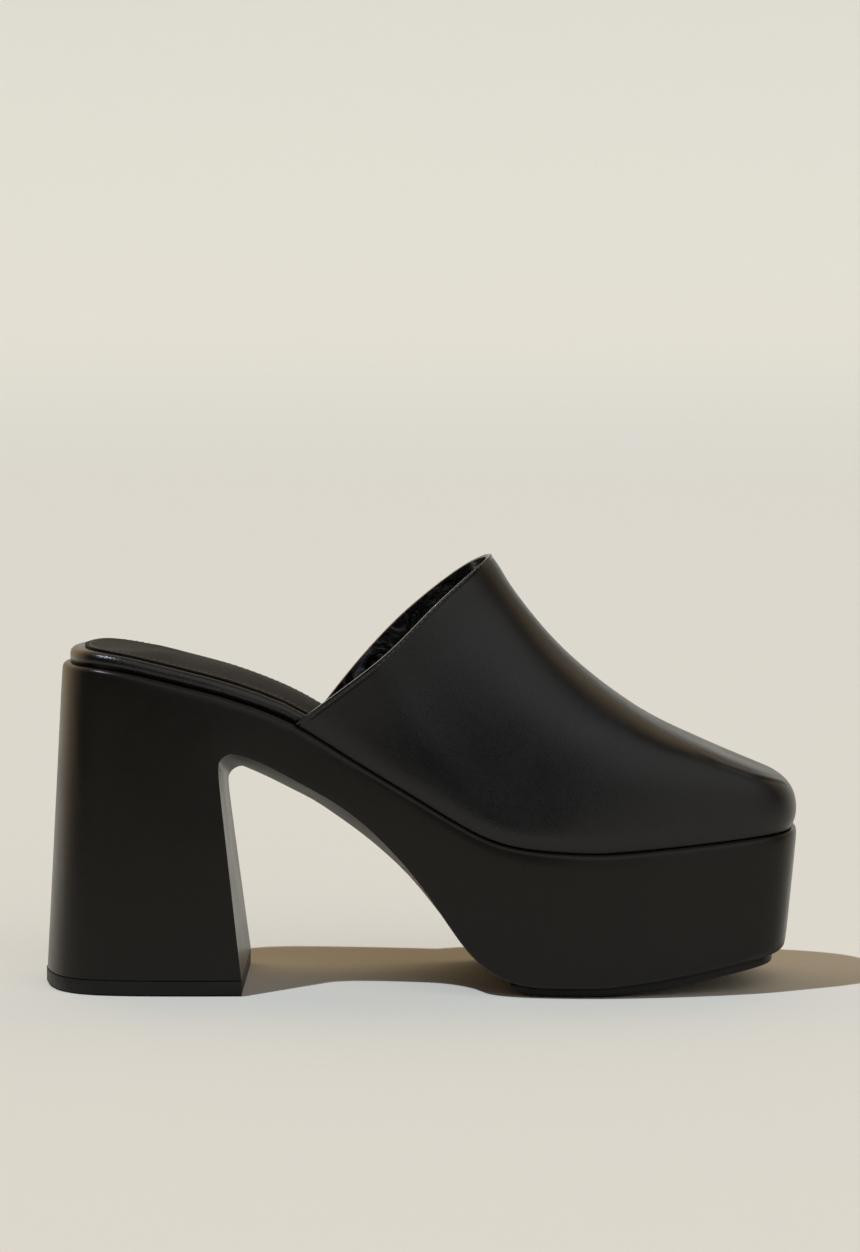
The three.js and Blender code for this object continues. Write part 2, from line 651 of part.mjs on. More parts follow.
const shoe = new THREE.Group();
shoe.add(
  piece("upper", upper(), "upperLeather"),
  piece("platform_heel_unit", platformHeelUnit(), "moulded"),
  piece("insole_board", insoleBoard(), "grainedWrap"),
  piece("padded_sock", paddedSock(), "sockLeather"),
  piece("outsole", outsole(), "rubber"),
  piece("heel_top_piece", heelTopPiece(), "rubber"),
);

// The origin lies on the floor, under the middle of the shoe's box.
const box = new THREE.Box3().setFromObject(shoe);
const centre = box.getCenter(new THREE.Vector3());
shoe.position.set(-centre.x, -centre.y, 0);

export default shoe;
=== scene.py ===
"""A black platform mule on a pale sweep: finishes, lining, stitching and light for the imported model."""
import math

import bmesh
import bpy
from mathutils import Matrix, Vector, kdtree
from mathutils.bvhtree import BVHTree


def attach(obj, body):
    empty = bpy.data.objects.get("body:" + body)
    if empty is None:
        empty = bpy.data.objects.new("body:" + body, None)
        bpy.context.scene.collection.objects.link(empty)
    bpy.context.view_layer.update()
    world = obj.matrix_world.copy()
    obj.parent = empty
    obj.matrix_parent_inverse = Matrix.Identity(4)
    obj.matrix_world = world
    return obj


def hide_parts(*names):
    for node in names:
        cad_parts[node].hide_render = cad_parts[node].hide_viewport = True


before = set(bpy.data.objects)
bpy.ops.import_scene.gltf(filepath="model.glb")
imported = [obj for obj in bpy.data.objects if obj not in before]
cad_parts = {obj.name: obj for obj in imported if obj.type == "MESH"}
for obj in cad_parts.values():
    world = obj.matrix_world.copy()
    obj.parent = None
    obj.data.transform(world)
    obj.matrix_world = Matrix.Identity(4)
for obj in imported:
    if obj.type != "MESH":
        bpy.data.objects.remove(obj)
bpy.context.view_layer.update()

MM = 0.001

# Photograph: where the camera stood, in the shoe's own frame
CAMERA_PLACE = Vector((3.03, -1242.0, 211.3)) * MM
CAMERA_PITCH = math.radians(4.5)
FOCAL_PIXELS = 3901
PHOTO_LONG_SIDE = 1252
SENSOR = 36.0

# Upper
TOPLINE_FOOT = Vector((-39, 0, 83)) * MM
TOPLINE_APEX = Vector((22.7, 0, 137)) * MM
COLLAR_REACH = 7 * MM
COLLAR_LOWEST = 84.3 * MM
COLLAR_SHARP = 50
COLLAR_ROUNDING = 0.55 * MM
OUTER_FACE_AREA = 8 * MM * MM
FOLD_DEPTH = 1.6 * MM
FOLD_RIDGE = 0.5 * MM
STITCH_DROP = 1.5 * MM
STITCH_SEARCH = 1.5 * MM
STITCH_LENGTH = 1.5 * MM
STITCH_PITCH = 2.1 * MM
THREAD = 0.19 * MM
THREAD_TAPER = 0.45
THREAD_SAG = 1.1
THREAD_PROUD = 0.35

# The line through the middle of the foot's room, which the lining looks towards
ROOM_FROM = -20 * MM
ROOM_TO = 92 * MM
ROOM_SIDE = -2 * MM
ROOM_HEIGHT = 61
ROOM_SLOPE = 0.4
ROOM_LEVEL_FROM = 60

# Lines raised on the upper, given point by point: the toe's shoulder, and the swell where the instep leaves
# the rim
TOE_SHOULDER = [(80.4, -31.1, 80.3), (87.2, -33.3, 76.8), (94, -34, 73.4), (102.9, -32.4, 70.1),
                (109.5, -28, 68), (114.1, -22.3, 66.4), (116.6, -12, 65), (117.2, 0, 64.6)]
SHOULDER_FADES_FROM = 82 * MM
SHOULDER_FADES_TO = 108 * MM
SHOULDER_RISE = 0.65 * MM
SHOULDER_WIDTH = 2.2
INSTEP_SWELL = [(-13.2, -31, 101.6), (-7.6, -31, 91.2), (-0.1, -32, 80.4), (7.7, -34.5, 69.7),
               (15.5, -37.2, 59.7), (27.2, -39.8, 50.7)]
SWELL_RISE = 0.7 * MM
SWELL_WIDTH = 8 * MM

# Lining: folds, and painted glints on the fold crests, full below one height and faint above another
LINING_FOLDS = 2.6 * MM
LINING_FULL_BELOW = 0.1
LINING_FAINT_ABOVE = 0.118
# Colour of the painted glints: a lighter tone painted on the lining's fold crests in place of real
# reflections
LINING_PAINTED_GLINT = (0.06, 0.06, 0.068)

# Board and sock
BOARD_SETTLES = 0.15 * MM
BOARD_FACES_DOWN = -0.3
SOCK_EDGE = 0.3 * MM
SOCK_STITCH_INSET = 1.7 * MM
SOCK_SEAM_INSET = 2.1 * MM
SOCK_STITCHES_TO = 14 * MM
SOCK_STITCH_LIFT = 0.3 * MM
SOCK_CENTRE_REACH = 80 * MM
SOCK_SHARP = 60
PADDING_ENDS = [(-74, 0, 109), (97, -3, 56)]
PADDING_END_WIDTH = 7 * MM
GATHER = 1.6 * MM

# Sweep, light and room
SWEEP_RIGHT = 15
SWEEP_LEFT_FRONT = -0.5
SWEEP_LEFT_BACK = -1.7
SWEEP_FRONT = -0.55
SWEEP_BACK = 9
SWEEP_HEIGHT = 7
SWEEP_CURVE = 5
PAPER = (0.69, 0.656, 0.585)
PAPER_WORN = (0.676, 0.643, 0.573)
PAPER_BACK = (0.742, 0.692, 0.59)
PAPER_BACK_HEIGHT = 0.22
KEY_DIRECTION = (0.48, 0.36, -1)
KEY_STRENGTH = 2.74
KEY_COLOUR = (0.8, 0.89, 1.0)
KEY_ANGLE = 1.5
BACKGROUND = (0.738, 0.709, 0.631)
FRONT_LIGHT = (0.02, 0.018, 0.016)
BACK_LIGHT = (0.8, 0.6, 0.36)
SOFT_LIGHT = (0.9, 0.87, 0.84)
SOFT_FROM = Vector((0.45, -0.72, 0.52)).normalized()
BACK_LIGHT_FADE = (-0.15, 0.5)
SOFT_LIGHT_FADE = (0.7, 0.94)

DUST = (0.2, 0.19, 0.17)

# Rounded edges of the hard pieces, and from how many degrees an edge counts as sharp
HEEL_EDGE = 0.9 * MM
HEEL_SHARP = 38
RUBBER_EDGE = 0.35 * MM
RUBBER_SHARP = 60
SAME_POINT = 0.002 * MM


def only(obj):
    """Selects one object and nothing else."""
    bpy.ops.object.select_all(action="DESELECT")
    obj.select_set(True)
    bpy.context.view_layer.objects.active = obj


def copy_of(node, name):
    """A piece that starts as a CAD solid's own faces, joined up and turned to quads where they pair."""
    piece = bpy.data.objects.new(name, node.data.copy())
    bpy.context.scene.collection.objects.link(piece)
    only(piece)
    bpy.ops.object.mode_set(mode="EDIT")
    bpy.ops.mesh.select_all(action="SELECT")
    bpy.ops.mesh.remove_doubles(threshold=SAME_POINT)
    bpy.ops.mesh.tris_convert_to_quads(face_threshold=math.radians(40), shape_threshold=math.radians(60))
    bpy.ops.object.mode_set(mode="OBJECT")
    return piece


def choose_edges(piece, wanted):
    """Leaves the piece with only those edges selected that wanted(edge) is true for."""
    only(piece)
    bpy.ops.object.mode_set(mode="EDIT")
    bpy.ops.mesh.select_mode(type="EDGE")
    bpy.ops.mesh.select_all(action="DESELECT")
    mesh = bmesh.from_edit_mesh(piece.data)
    for edge in mesh.edges:
        edge.select_set(wanted(edge))
    bmesh.update_edit_mesh(piece.data)


def is_sharp(edge, degrees):
    return len(edge.link_faces) == 2 and edge.calc_face_angle(0) > math.radians(degrees)


def round_edges(piece, wanted, width, segments=2):
    """Bevels the chosen edges by hand."""
    choose_edges(piece, wanted)
    bpy.ops.mesh.bevel(offset=width, segments=segments, profile=0.5, affect="EDGES", clamp_overlap=True)
    bpy.ops.object.mode_set(mode="OBJECT")


def smooth(piece, degrees):
    only(piece)
    bpy.ops.object.shade_smooth_by_angle(angle=math.radians(degrees))


def subdivide_surface(piece, levels):
    only(piece)
    modifier = piece.modifiers.new("Fine skin", "SUBSURF")
    modifier.levels = levels
    modifier.render_levels = levels
    bpy.ops.object.modifier_apply(modifier=modifier.name)


def edge_line(piece, wanted):
    """The chosen edges of a piece, as one line of points in order: the longest where there are several."""
    mesh = bmesh.new()
    mesh.from_mesh(piece.data)
    links = {}
    for edge in filter(wanted, mesh.edges):
        a, b = edge.verts
        links.setdefault(a.index, []).append(b.index)
        links.setdefault(b.index, []).append(a.index)
    mesh.verts.ensure_lookup_table()
    lines = []
    while links:
        ends = [i for i, near in links.items() if len(near) == 1]
        line = [ends[0] if ends else next(iter(links))]
        while ahead := [i for i in links[line[-1]] if i not in line]:
            line.append(ahead[0])
        if not ends:
            line.append(line[0])
        lines.append(line)
        links = {i: near for i, near in links.items() if i not in line}
    points = [mesh.verts[i].co.copy() for i in max(lines, key=len)]
    mesh.free()
    return points


def walk(points, step):
    """Points at equal steps along a line, each with its distance along it."""
    out = []
    travelled, target = 0.0, 0.0
    for a, b in zip(points, points[1:]):
        length = (b - a).length
        while length and target <= travelled + length:
            out.append((a.lerp(b, (target - travelled) / length), target))
            target += step
        travelled += length
    return out


def search_tree(fine):
    """Finds the nearest point of a line that walk has cut into steps."""
    tree = kdtree.KDTree(len(fine))
    for i, (p, _) in enumerate(fine):
        tree.insert(p, i)
    tree.balance()
    return tree


def map_from_line(piece, points, name):
    """A UV map whose u is the distance along a line and whose v is the distance from it, in millimetres."""
    fine = walk(points, 0.4 * MM)
    tree = search_tree(fine)
    near = []
    for vertex in piece.data.vertices:
        _, i, distance = tree.find(vertex.co)
        near.append((fine[i][1] / MM, distance / MM))
    layer = piece.data.uv_layers.new(name=name)
    for loop in piece.data.loops:
        layer.data[loop.index].uv = near[loop.vertex_index]


def gather(piece, place, width):
    """Joins points that crowd together on a piece's upper face, round one place."""
    only(piece)
    bpy.ops.object.mode_set(mode="EDIT")
    bpy.ops.mesh.select_mode(type="VERT")
    bpy.ops.mesh.select_all(action="DESELECT")
    mesh = bmesh.from_edit_mesh(piece.data)
    for vertex in mesh.verts:
        vertex.select_set((vertex.co - place).length < width and vertex.normal.z > 0.6)
    mesh.select_flush_mode()
    bmesh.update_edit_mesh(piece.data)
    bpy.ops.mesh.remove_doubles(threshold=GATHER)
    bpy.ops.object.mode_set(mode="OBJECT")


def raise_along(piece, points, rise, width):
    """Swells the inner side of a piece outward along a line, fading off softly to both sides."""
    tree = search_tree(walk(points, 0.5 * MM))
    for vertex in piece.data.vertices:
        _, _, distance = tree.find(vertex.co)
        vertex.co.y -= rise * math.exp(-((distance / width) ** 2))


# Shared effects


def socket(group, way, kind, name, value=None):
    made = group.interface.new_socket(name=name, in_out=way, socket_type=kind)
    if value is not None:
        made.default_value = value


class Bench:
    """Adds and links nodes in one tree, left to right."""

    def __init__(self, tree):
        self.tree = tree
        self.x = -1400

    def add(self, kind, inputs=None, **settings):
        node = self.tree.nodes.new(kind)
        node.location = (self.x, 0)
        self.x += 170
        for key, value in settings.items():
            setattr(node, key, value)
        for key, value in (inputs or {}).items():
            if isinstance(value, bpy.types.NodeSocket):
                self.tree.links.new(value, node.inputs[key])
            else:
                node.inputs[key].default_value = value
        return node

    def part(self, vector, axis):
        """One coordinate of a vector."""
        return self.add("ShaderNodeSeparateXYZ", {0: vector}).outputs[axis]

    def maths(self, operation, *values):
        node = self.add("ShaderNodeMath", dict(enumerate(values)), operation=operation)
        return node.outputs[0]

    def fade(self, value, low, high, to_low=0.0, to_high=1.0):
        """value read from low to high, as to_low to to_high, held at both ends."""
        ends = {"From Min": low, "From Max": high, "To Min": to_low, "To Max": to_high}
        node = self.add("ShaderNodeMapRange", {"Value": value, **ends}, interpolation_type="SMOOTHSTEP")
        return node.outputs["Result"]

    def blend_colours(self, amount, low, high):
        """The colour low where amount is nought and high where it is one."""
        node = self.add("ShaderNodeMix", {"Factor": amount}, data_type="RGBA")
        for key, value in (("A", low), ("B", high)):
            if isinstance(value, bpy.types.NodeSocket):
                self.tree.links.new(value, node.inputs[key])
            else:
                node.inputs[key].default_value = (*value, 1)
        return node.outputs["Result"]


def new_group(name):
    group = bpy.data.node_groups.new(name, "ShaderNodeTree")
    bench = Bench(group)
    return group, bench


def grain_group():
    """Pores and creases of a coated leather or a grained cover."""
    group, bench = new_group("Leather grain")
    socket(group, "INPUT", "NodeSocketVector", "Vector")
    socket(group, "INPUT", "NodeSocketFloat", "Cells per metre", 900.0)
    socket(group, "INPUT", "NodeSocketFloat", "Creases", 0.5)
    socket(group, "OUTPUT", "NodeSocketFloat", "Height")
    given = bench.add("NodeGroupInput")
    place, cells = given.outputs["Vector"], given.outputs["Cells per metre"]
    bend = bench.add("ShaderNodeTexNoise", {"Vector": place, "Scale": 260.0, "Detail": 2.0})
    shift = bench.add(
        "ShaderNodeVectorMath", {0: bend.outputs["Color"], "Scale": 0.0012}, operation="SCALE"
    )
    moved = bench.add("ShaderNodeVectorMath", {0: place, 1: shift.outputs[0]}, operation="ADD")
    pebbles = bench.add(
        "ShaderNodeTexVoronoi", {"Vector": moved.outputs[0], "Scale": cells}, feature="DISTANCE_TO_EDGE"
    )
    valleys = bench.fade(pebbles.outputs["Distance"], 0.0, 0.25)
    fine_scale = bench.maths("MULTIPLY", cells, 3.2)
    fine = bench.add("ShaderNodeTexNoise", {"Vector": place, "Scale": fine_scale, "Detail": 3.0})
    deep = bench.maths("MULTIPLY", valleys, given.outputs["Creases"])
    height = bench.maths("ADD", deep, bench.maths("MULTIPLY", fine.outputs["Fac"], 0.45))
    bench.add("NodeGroupOutput", {"Height": height})
    return group


def handling_group():
    """Broad uneven gloss and tone, from casting, finishing and handling."""
    group, bench = new_group("Handling")
    socket(group, "INPUT", "NodeSocketVector", "Vector")
    socket(group, "INPUT", "NodeSocketColor", "Colour", (0.02, 0.02, 0.02, 1))
    socket(group, "INPUT", "NodeSocketFloat", "Roughness", 0.4)
    socket(group, "INPUT", "NodeSocketFloat", "Unevenness", 0.06)
    socket(group, "INPUT", "NodeSocketFloat", "Dust", 0.1)
    socket(group, "OUTPUT", "NodeSocketColor", "Colour")
    socket(group, "OUTPUT", "NodeSocketFloat", "Roughness")
    given = bench.add("NodeGroupInput")
    place = given.outputs["Vector"]
    wide = {"Vector": place, "Scale": 34.0, "Detail": 4.0, "Roughness": 0.6}
    broad = bench.add("ShaderNodeTexNoise", wide)
    close = bench.add("ShaderNodeTexNoise", {"Vector": place, "Scale": 420.0, "Detail": 3.0})
    specks = bench.add("ShaderNodeTexVoronoi", {"Vector": place, "Scale": 330.0}, feature="F1")
    speck = bench.fade(specks.outputs["Distance"], 0.03, 0.09, 1.0, 0.0)
    patches = bench.add("ShaderNodeTexNoise", {"Vector": place, "Scale": 90.0})
    rare = bench.fade(patches.outputs["Fac"], 0.6, 0.72)
    up = bench.part(bench.add("ShaderNodeNewGeometry").outputs["Normal"], "Z")
    lying = bench.fade(up, 0.1, 0.9)
    dust = bench.maths("MULTIPLY", bench.maths("MULTIPLY", speck, rare), given.outputs["Dust"])
    dust = bench.maths("MULTIPLY", dust, lying)
    swing = bench.fade(broad.outputs["Fac"], 0.3, 0.7, -1.0, 1.0)
    swing = bench.maths("ADD", swing, bench.fade(close.outputs["Fac"], 0.3, 0.7, -0.35, 0.35))
    rougher = bench.maths("MULTIPLY", swing, given.outputs["Unevenness"])
    rough = bench.maths("ADD", given.outputs["Roughness"], rougher)
    tone = bench.maths("ADD", 1.0, bench.maths("MULTIPLY", swing, 0.1))
    toned = {0: given.outputs["Colour"], "Scale": tone}
    shade = bench.add("ShaderNodeVectorMath", toned, operation="SCALE").outputs[0]
    dusty = bench.blend_colours(dust, shade, DUST)
    bench.add("NodeGroupOutput", {"Colour": dusty, "Roughness": rough})
    return group


GRAIN = grain_group()
HANDLING = handling_group()


class Finish(Bench):
    """A material that starts from the shared effects, for one of the shoe's own finishes."""

    def __init__(self, name, colour, roughness, unevenness, dust):
        self.material = bpy.data.materials.new(name)
        self.material.use_nodes = True
        super().__init__(self.material.node_tree)
        self.tree.nodes.clear()
        self.place = self.add("ShaderNodeTexCoord").outputs["Object"]
        given = {"Vector": self.place, "Colour": (*colour, 1), "Roughness": roughness}
        given.update({"Unevenness": unevenness, "Dust": dust})
        handled = self.add("ShaderNodeGroup", given, node_tree=HANDLING)
        self.colour = handled.outputs["Colour"]
        self.roughness = handled.outputs["Roughness"]

    def grain(self, cells, creases):
        given = {"Vector": self.place, "Cells per metre": cells, "Creases": creases}
        return self.add("ShaderNodeGroup", given, node_tree=GRAIN).outputs["Height"]

    def bump(self, height, distance, strength=1.0, under=None):
        inputs = {"Height": height, "Distance": distance, "Strength": strength}
        if under is not None:
            inputs["Normal"] = under
        return self.add("ShaderNodeBump", inputs).outputs["Normal"]

    def distance_from(self, line):
        """How far the surface lies from the line of a UV map, in millimetres."""
        return self.part(self.add("ShaderNodeUVMap", uv_map=line).outputs[0], "Y")

    def line(self, coordinate, at, width):
        """One at a line on the surface and nought a width to each side of it."""
        off = self.maths("ABSOLUTE", self.maths("SUBTRACT", coordinate, at))
        return self.fade(off, 0.0, width, 1.0, 0.0)

    def done(self, normal, **fixed):
        surface = {"Base Color": self.colour, "Roughness": self.roughness, "Normal": normal}
        shader = self.add("ShaderNodeBsdfPrincipled", surface)
        for key, value in fixed.items():
            shader.inputs[key.replace("_", " ")].default_value = value
        self.add("ShaderNodeOutputMaterial", {"Surface": shader.outputs[0]})
        return self.material


def upper_leather():
    finish = Finish("Upper leather", (0.0055, 0.0054, 0.0055), roughness=0.33, unevenness=0.03, dust=0.1)
    from_edge = finish.distance_from("collar")
    groove = finish.line(from_edge, at=STITCH_DROP / MM, width=0.75)
    ridge = finish.line(from_edge, at=FOLD_RIDGE / MM, width=0.7)
    high = finish.maths("MULTIPLY", ridge, 0.25)
    low = finish.maths("MULTIPLY", groove, 0.5)
    edge = finish.bump(finish.maths("SUBTRACT", high, low), distance=0.25 * MM)
    reach = finish.part(finish.place, "X")
    strength = finish.fade(reach, SHOULDER_FADES_FROM, SHOULDER_FADES_TO)
    raised = finish.line(finish.distance_from("shoulder"), at=0, width=SHOULDER_WIDTH)
    shoulder = finish.bump(finish.maths("MULTIPLY", raised, strength), distance=SHOULDER_RISE, under=edge)
    pores = finish.grain(cells=1250.0, creases=0.5)
    grain = finish.bump(pores, distance=0.035 * MM, strength=0.8, under=shoulder)
    turned = finish.fade(from_edge, 0.3, 1.6, -0.2, 0.0)
    finish.roughness = finish.maths("ADD", finish.roughness, turned)
    return finish.done(grain, Specular_IOR_Level=0.36)


def lining():
    finish = Finish("Lining", (0.006, 0.006, 0.0066), roughness=0.26, unevenness=0.05, dust=0.05)
    stretched = finish.add("ShaderNodeMapping", {"Vector": finish.place, "Scale": (1.0, 0.35, 1.0)})
    crumpled = {"Vector": stretched.outputs[0], "Scale": 150.0, "Detail": 3.0, "Distortion": 1.2}
    folds = finish.add("ShaderNodeTexNoise", crumpled).outputs["Fac"]
    height = finish.part(finish.place, "Z")
    low = finish.fade(height, LINING_FAINT_ABOVE, LINING_FULL_BELOW, 0.35, 1.0)
    wrinkles = finish.bump(finish.maths("MULTIPLY", folds, low), distance=LINING_FOLDS, strength=0.8)
    pores = finish.grain(cells=1500.0, creases=0.6)
    grain = finish.bump(pores, distance=0.03 * MM, strength=0.7, under=wrinkles)
    # Painted glints: the fold crests, mostly low down, are lightened in colour to stand in for light caught
    # on a glossy creased lining
    painted_glints = finish.maths("MULTIPLY", finish.fade(folds, 0.55, 0.68), low)
    finish.colour = finish.blend_colours(painted_glints, finish.colour, LINING_PAINTED_GLINT)
    return finish.done(grain, Coat_Weight=0.8, Coat_Roughness=0.12)


def unit_cover():
    finish = Finish("Unit cover", (0.0066, 0.005, 0.0038), roughness=0.31, unevenness=0.03, dust=0.15)
    pores = finish.grain(cells=1700.0, creases=0.25)
    grain = finish.bump(pores, distance=0.02 * MM, strength=0.6)
    up = finish.part(finish.add("ShaderNodeNewGeometry").outputs["Normal"], "Z")
    matter_below = finish.fade(up, -0.2, -0.8, 0.0, 0.22)
    finish.roughness = finish.maths("ADD", finish.roughness, matter_below)
    return finish.done(grain, Specular_IOR_Level=0.24)


def board_wrap():
    finish = Finish("Board wrap", (0.0025, 0.0025, 0.003), roughness=0.3, unevenness=0.04, dust=0.08)
    pull = finish.add("ShaderNodeMapping", {"Vector": finish.place, "Scale": (1.0, 1.0, 0.45)})
    pulled = {"Vector": pull.outputs[0], "Scale": 240.0, "Detail": 2.0}
    pulls = finish.add("ShaderNodeTexNoise", pulled).outputs["Fac"]
    uneven = finish.bump(pulls, distance=0.12 * MM, strength=0.4)
    pores = finish.grain(cells=1050.0, creases=1.0)
    grain = finish.bump(pores, distance=0.035 * MM, strength=0.8, under=uneven)
    return finish.done(grain, Specular_IOR_Level=0.5)


def sock_leather():
    finish = Finish("Sock leather", (0.008, 0.0072, 0.006), roughness=0.62, unevenness=0.05, dust=0.12)
    from_edge = finish.distance_from("edge")
    seam = finish.line(from_edge, at=SOCK_SEAM_INSET / MM, width=0.55)
    stitched = finish.line(from_edge, at=SOCK_STITCH_INSET / MM, width=0.6)
    deep = finish.maths("MULTIPLY", seam, -1.0)
    shallow = finish.maths("MULTIPLY", stitched, -0.35)
    edge = finish.bump(finish.maths("ADD", deep, shallow), distance=0.4 * MM)
    pores = finish.grain(cells=1150.0, creases=0.7)
    grain = finish.bump(pores, distance=0.05 * MM, strength=0.8, under=edge)
    return finish.done(grain, Specular_IOR_Level=0.15)


def sole_rubber():
    finish = Finish("Sole rubber", (0.0055, 0.005, 0.0046), roughness=0.5, unevenness=0.05, dust=0.2)
    pores = finish.grain(cells=2200.0, creases=0.2)
    grain = finish.bump(pores, distance=0.03 * MM, strength=0.6)
    return finish.done(grain, Specular_IOR_Level=0.24)


def sewing_thread(name, colour):
    finish = Finish(name, colour, roughness=0.5, unevenness=0.04, dust=0.0)
    twisted = {"Vector": finish.place, "Scale": 900.0, "Distortion": 1.0}
    twist = finish.add("ShaderNodeTexWave", twisted).outputs["Fac"]
    return finish.done(finish.bump(twist, distance=0.05 * MM, strength=0.6), Sheen_Weight=0.2)


def dress(piece, material):
    piece.data.materials.clear()
    piece.data.materials.append(material)
    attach(piece, "root")


def row_of_stitches(name, seats, length):
    """One thread stitch, modelled once and laid at each seat: a place, a run and an outward normal."""
    bpy.ops.object.select_all(action="DESELECT")
    bpy.ops.mesh.primitive_cylinder_add(vertices=6, radius=THREAD, depth=length - 2 * THREAD)
    stitch = bpy.context.object
    bpy.ops.object.mode_set(mode="EDIT")
    bpy.ops.mesh.select_all(action="SELECT")
    bpy.ops.mesh.subdivide(number_cuts=1, quadcorner="INNERVERT")
    bpy.ops.mesh.select_all(action="SELECT")
    bpy.ops.mesh.tris_convert_to_quads()
    bpy.ops.object.mode_set(mode="OBJECT")
    for vertex in stitch.data.vertices:
        along = vertex.co.z / (length / 2)
        plump = 1 - THREAD_TAPER * abs(along) ** 3
        vertex.co.x *= plump
        vertex.co.y = vertex.co.y * plump - THREAD_SAG * THREAD * along * along
    copies = []
    for place, run, normal in seats:
        made = stitch.copy()
        made.data = stitch.data.copy()
        side = normal.cross(run).normalized()
        turn = Matrix((side, normal, run)).transposed().to_4x4()
        made.data.transform(Matrix.Translation(place + normal * THREAD * THREAD_PROUD) @ turn)
        bpy.context.scene.collection.objects.link(made)
        copies.append(made)
    bpy.data.objects.remove(stitch)
    bpy.ops.object.select_all(action="DESELECT")
    for made in copies:
        made.select_set(True)
    bpy.context.view_layer.objects.active = copies[0]
    bpy.ops.object.join()
    row = bpy.context.object
    row.name = name
    row.matrix_world = Matrix.Identity(4)
    only(row)
    bpy.ops.object.mode_set(mode="EDIT")
    bpy.ops.mesh.select_all(action="SELECT")
    bpy.ops.mesh.normals_make_consistent(inside=False)
    bpy.ops.object.mode_set(mode="OBJECT")
    smooth(row, 60)
    return row


def seats_along(surface, line, inward, pitch):
    """Where stitches sit: points at equal steps along a line, moved inward and laid on a surface."""
    skin = BVHTree.FromObject(surface, bpy.context.evaluated_depsgraph_get())
    points = [p for p, _ in walk(line, pitch)]
    seats = []
    for before, here, after in zip(points, points[1:], points[2:]):
        run = (after - before).normalized()
        place, normal, _, _ = skin.find_nearest(here + inward(here, run))
        run = (run - normal * run.dot(normal)).normalized()
        seats.append((place, run, normal))
    return seats


# Upper: the shell's own faces, its collar rounded as folded leather, then a fine smooth skin

collar_run = TOPLINE_APEX - TOPLINE_FOOT
collar_normal = Vector((-collar_run.z, 0, collar_run.x)).normalized()


def near_collar(point):
    """True on the rim of the slanting collar and false all along the foot of the upper."""
    return (point - TOPLINE_FOOT).dot(collar_normal) > -COLLAR_REACH and point.z > COLLAR_LOWEST


def middle_of_room(place):
    """The point of the foot's room that lies beside a place."""
    x = min(max(place.x, ROOM_FROM), ROOM_TO)
    return Vector((x, ROOM_SIDE, (ROOM_HEIGHT + ROOM_SLOPE * max(0, ROOM_LEVEL_FROM - x / MM)) * MM))


def looks_in(place, normal):
    """True for the lining's side, which looks towards the middle of the foot's room."""
    return normal.dot(middle_of_room(place) - place) > 0


def is_outer_face(face):
    return not looks_in(face.calc_center_median(), face.normal) and face.calc_area() > OUTER_FACE_AREA


def collar_edge(edge):
    if not is_sharp(edge, COLLAR_SHARP) or not all(near_collar(v.co) for v in edge.verts):
        return False
    return any(is_outer_face(face) for face in edge.link_faces)


upper = copy_of(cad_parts["upper"], "upper_skin")
collar = edge_line(upper, collar_edge)
round_edges(upper, lambda e: is_sharp(e, COLLAR_SHARP), COLLAR_ROUNDING)
subdivide_surface(upper, 2)
map_from_line(upper, collar, "collar")
map_from_line(upper, [Vector(p) * MM for p in TOE_SHOULDER], "shoulder")
raise_along(upper, [Vector(p) * MM for p in INSTEP_SWELL], SWELL_RISE, SWELL_WIDTH)
dress(upper, upper_leather())
upper.data.materials.append(lining())
fold = upper.data.uv_layers["collar"].data
for polygon in upper.data.polygons:
    past_fold = fold[polygon.loop_indices[0]].uv.y * MM > FOLD_DEPTH
    polygon.material_index = 1 if past_fold and looks_in(polygon.center, polygon.normal) else 0
smooth(upper, 60)
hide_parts("upper")


def in_from_collar(here, run):
    """From the collar's edge to the stitch row inside it, on the outer face of the leather."""
    outward = (here - middle_of_room(here)).normalized()
    return outward * STITCH_SEARCH - collar_normal * STITCH_DROP


collar_seats = seats_along(upper, collar, in_from_collar, STITCH_PITCH)
topline = row_of_stitches("topline_stitches", collar_seats, STITCH_LENGTH)
dress(topline, sewing_thread("Black thread", (0.01, 0.01, 0.01)))

# Platform and heel unit, board, rubber pieces

unit = copy_of(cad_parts["platform_heel_unit"], "unit_skin")
round_edges(unit, lambda e: is_sharp(e, HEEL_SHARP), HEEL_EDGE, 3)
subdivide_surface(unit, 1)
dress(unit, unit_cover())
smooth(unit, 40)
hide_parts("platform_heel_unit")

board = copy_of(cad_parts["insole_board"], "board_skin")
for vertex in board.data.vertices:
    if vertex.normal.z < BOARD_FACES_DOWN:
        vertex.co.z -= BOARD_SETTLES
dress(board, board_wrap())
smooth(board, 50)
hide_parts("insole_board")

rubber = sole_rubber()
for node, name in (("outsole", "outsole_skin"), ("heel_top_piece", "top_piece_skin")):
    piece = copy_of(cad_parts[node], name)
    round_edges(piece, lambda e: is_sharp(e, RUBBER_SHARP), RUBBER_EDGE)
    dress(piece, rubber)
    smooth(piece, 40)
    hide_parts(node)

# Sock: the padded dome and its flat stitched edge

sock = copy_of(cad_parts["padded_sock"], "sock_skin")


def upper_rim_of_sock(edge):
    rises = sorted(face.normal.z for face in edge.link_faces)
    return len(rises) == 2 and abs(rises[0]) < 0.5 and rises[1] > 0.5


sock_rim = edge_line(sock, upper_rim_of_sock)
round_edges(sock, lambda e: is_sharp(e, SOCK_SHARP), SOCK_EDGE)
for place in PADDING_ENDS:
    gather(sock, Vector(place) * MM, PADDING_END_WIDTH)
subdivide_surface(sock, 2)
map_from_line(sock, sock_rim, "edge")
dress(sock, sock_leather())
smooth(sock, 60)
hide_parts("padded_sock")


def in_from_sock_edge(here, run):
    across = Vector((0, 0, 1)).cross(run).normalized()
    centre = Vector((min(max(here.x, -SOCK_CENTRE_REACH), SOCK_CENTRE_REACH), 0, here.z))
    if across.dot(centre - here) < 0:
        across.negate()
    return across * SOCK_STITCH_INSET + Vector((0, 0, SOCK_STITCH_LIFT))


